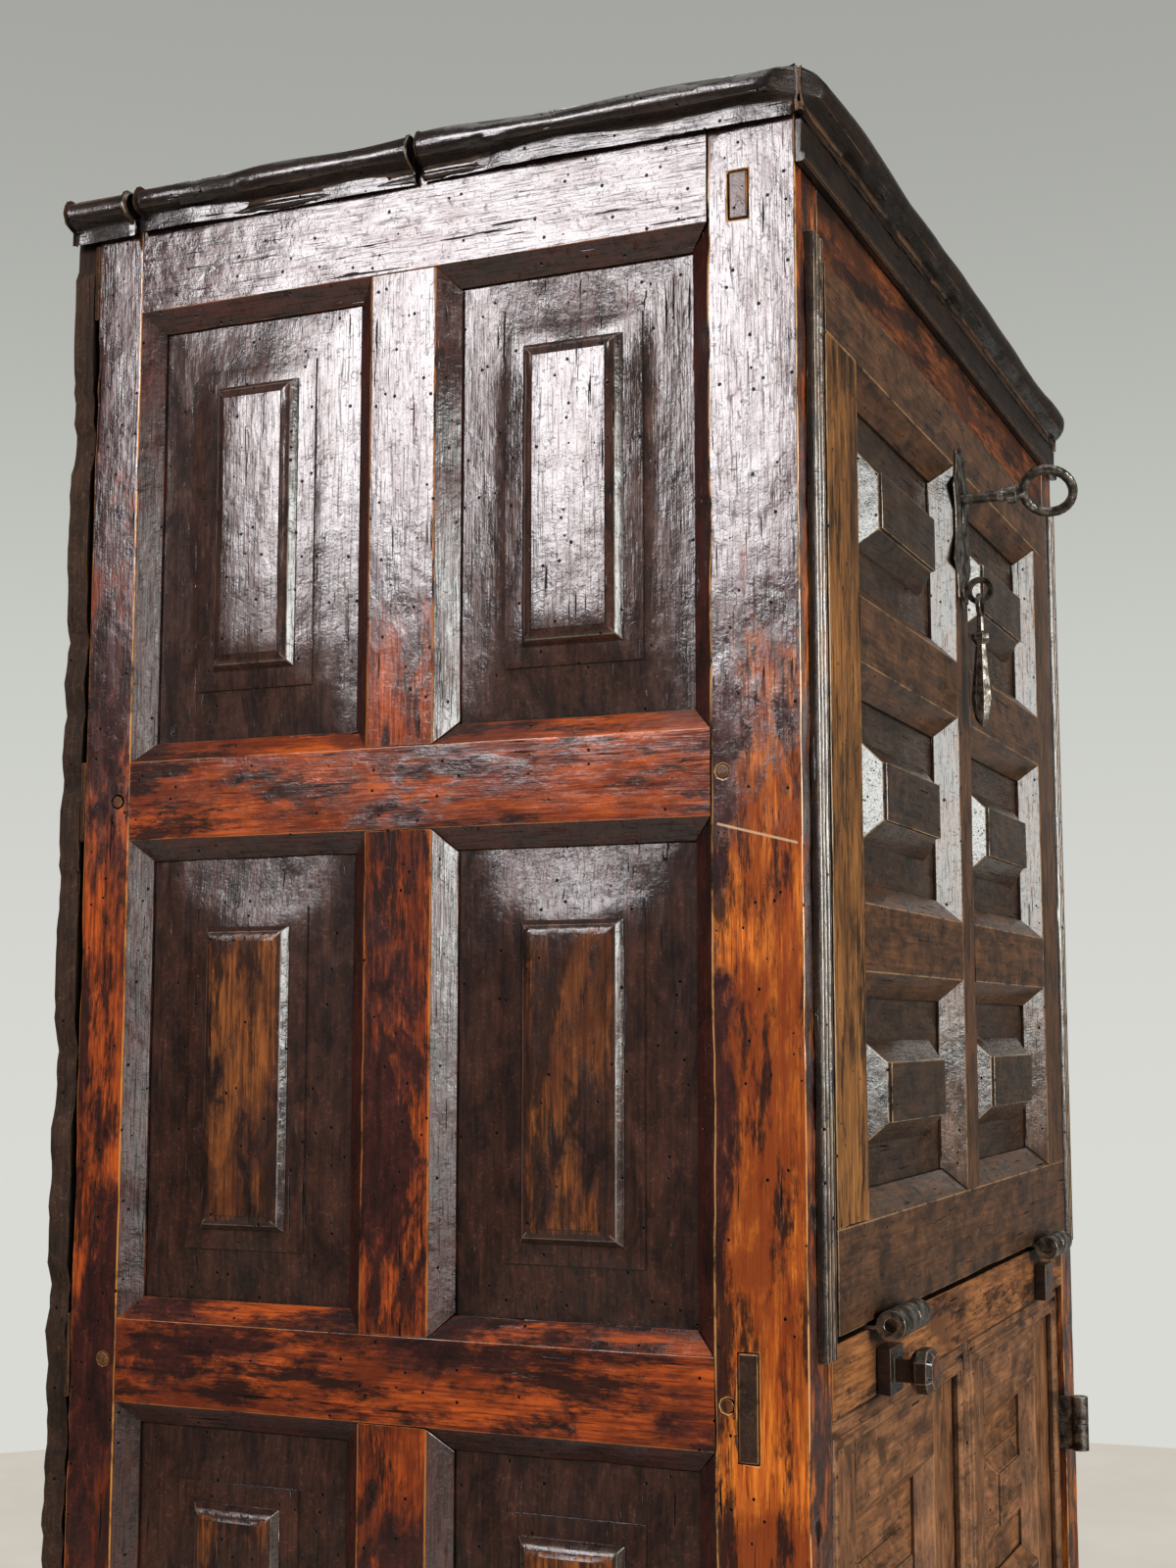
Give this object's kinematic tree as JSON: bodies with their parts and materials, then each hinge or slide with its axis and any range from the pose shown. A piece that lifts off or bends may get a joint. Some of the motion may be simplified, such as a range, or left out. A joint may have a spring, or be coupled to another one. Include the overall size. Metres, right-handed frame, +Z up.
{
  "type": "fall-front cabinet",
  "caption": "Upright panelled wooden cabinet with a hinged fall-front on pull-out lopers above a two-door cupboard, iron lock, key, drop pull and barrel hinges.",
  "frame": {"origin": "floor level, at the middle of the box around the whole cabinet with its key in the lock", "axes": "+Z up, -Y towards the front, +X to the right as seen from the front"},
  "size_m": [0.798, 0.592, 1.532],
  "materials": {
    "post_wood": "aged glossy varnish",
    "rail_wood": "aged glossy varnish",
    "panel_wood": "aged glossy varnish",
    "front_wood": "aged glossy varnish",
    "cornice_wood": "dark worn varnish",
    "back_wood": "rough sawn, unvarnished",
    "inner_wood": "plain planed",
    "loper_wood": "aged glossy varnish",
    "fall_wood": "aged glossy varnish",
    "door_wood": "aged glossy varnish",
    "iron": "dark forged, worn bright",
    "key_iron": "dark forged, handled bright"
  },
  "bodies": {
    "carcass": {"back_battens": "back_wood", "back_boards": "back_wood", "bottom_board": "inner_wood", "cornice_front": "cornice_wood", "cornice_left": "cornice_wood", "cornice_right": "cornice_wood", "cupboard_shelf": "inner_wood", "desk_floor": "inner_wood", "door_hinge_pins": "iron", "door_hinge_plates": "iron", "fall_hinge_pins": "iron", "fall_hinge_plates": "iron", "fall_stops": "inner_wood", "frieze_moulding": "front_wood", "front_bottom_rail": "front_wood", "front_mid_rail": "front_wood", "front_post_left": "post_wood", "front_post_right": "post_wood", "front_top_rail": "front_wood", "joint_pegs": "post_wood", "loper_guides": "inner_wood", "rear_post_left": "post_wood", "rear_post_right": "post_wood", "shelf_bearers": "inner_wood", "side_muntins_left": "rail_wood", "side_muntins_right": "rail_wood", "side_panels_left": "panel_wood", "side_panels_right": "panel_wood", "side_rails_left": "rail_wood", "side_rails_right": "rail_wood", "surround_moulding": "front_wood", "top_board": "cornice_wood", "upper_shelf": "inner_wood"},
    "fall": {"fall_bottom_rail": "fall_wood", "fall_mid_rails": "fall_wood", "fall_muntin": "fall_wood", "fall_panels": "fall_wood", "fall_stile_left": "fall_wood", "fall_stile_right": "fall_wood", "fall_top_rail": "fall_wood", "fall_hinge_leaves": "iron", "lock_plate": "iron", "lock_case": "iron", "pull_staple": "iron"},
    "left_door": {"left_door_hinge_leaves": "iron", "left_door_moulding": "door_wood", "left_door_panels": "door_wood", "left_door_rails": "door_wood", "left_door_stiles": "door_wood"},
    "right_door": {"right_door_hinge_leaves": "iron", "right_door_moulding": "door_wood", "right_door_panels": "door_wood", "right_door_rails": "door_wood", "right_door_stiles": "door_wood"},
    "lock_bolt": {"lock_bolt": "iron"},
    "key": {"key": "key_iron"},
    "drop_pull": {"drop_pull": "iron"},
    "loper_left": {"loper_left": "loper_wood"},
    "loper_right": {"loper_right": "loper_wood"}
  },
  "joints": [
    {"name": "fall_hinge", "type": "hinge", "parent": "carcass", "child": "fall", "pos_m": [0, -0.2205, 0.809], "axis": [1, 0, 0], "range_deg": [0, 95]},
    {"name": "left_door_hinge", "type": "hinge", "parent": "carcass", "child": "left_door", "pos_m": [-0.3355, -0.219, 0.43], "axis": [0, 0, -1], "range_deg": [0, 165]},
    {"name": "right_door_hinge", "type": "hinge", "parent": "carcass", "child": "right_door", "pos_m": [0.3355, -0.219, 0.43], "axis": [0, 0, 1], "range_deg": [0, 165]},
    {"name": "left_loper_slide", "type": "slide", "parent": "carcass", "child": "loper_left", "axis": [0, -1, 0], "range_m": [0, 0.26]},
    {"name": "right_loper_slide", "type": "slide", "parent": "carcass", "child": "loper_right", "axis": [0, -1, 0], "range_m": [0, 0.26]},
    {"name": "key_turn", "type": "hinge", "parent": "fall", "child": "key", "pos_m": [0, -0.207, 1.366], "axis": [0, 1, 0], "range_deg": [0, 90]},
    {"name": "bolt_slide", "type": "slide", "parent": "fall", "child": "lock_bolt", "axis": [0, 0, 1], "range_m": [0, 0.01]},
    {"name": "pull_swing", "type": "hinge", "parent": "fall", "child": "drop_pull", "pos_m": [0, -0.224, 1.297], "axis": [-1, 0, 0], "range_deg": [0, 85]}
  ],
  "couplings": [
    {"joint": "key_turn", "follows": "bolt_slide", "rad_per_m": 157.08}
  ]
}
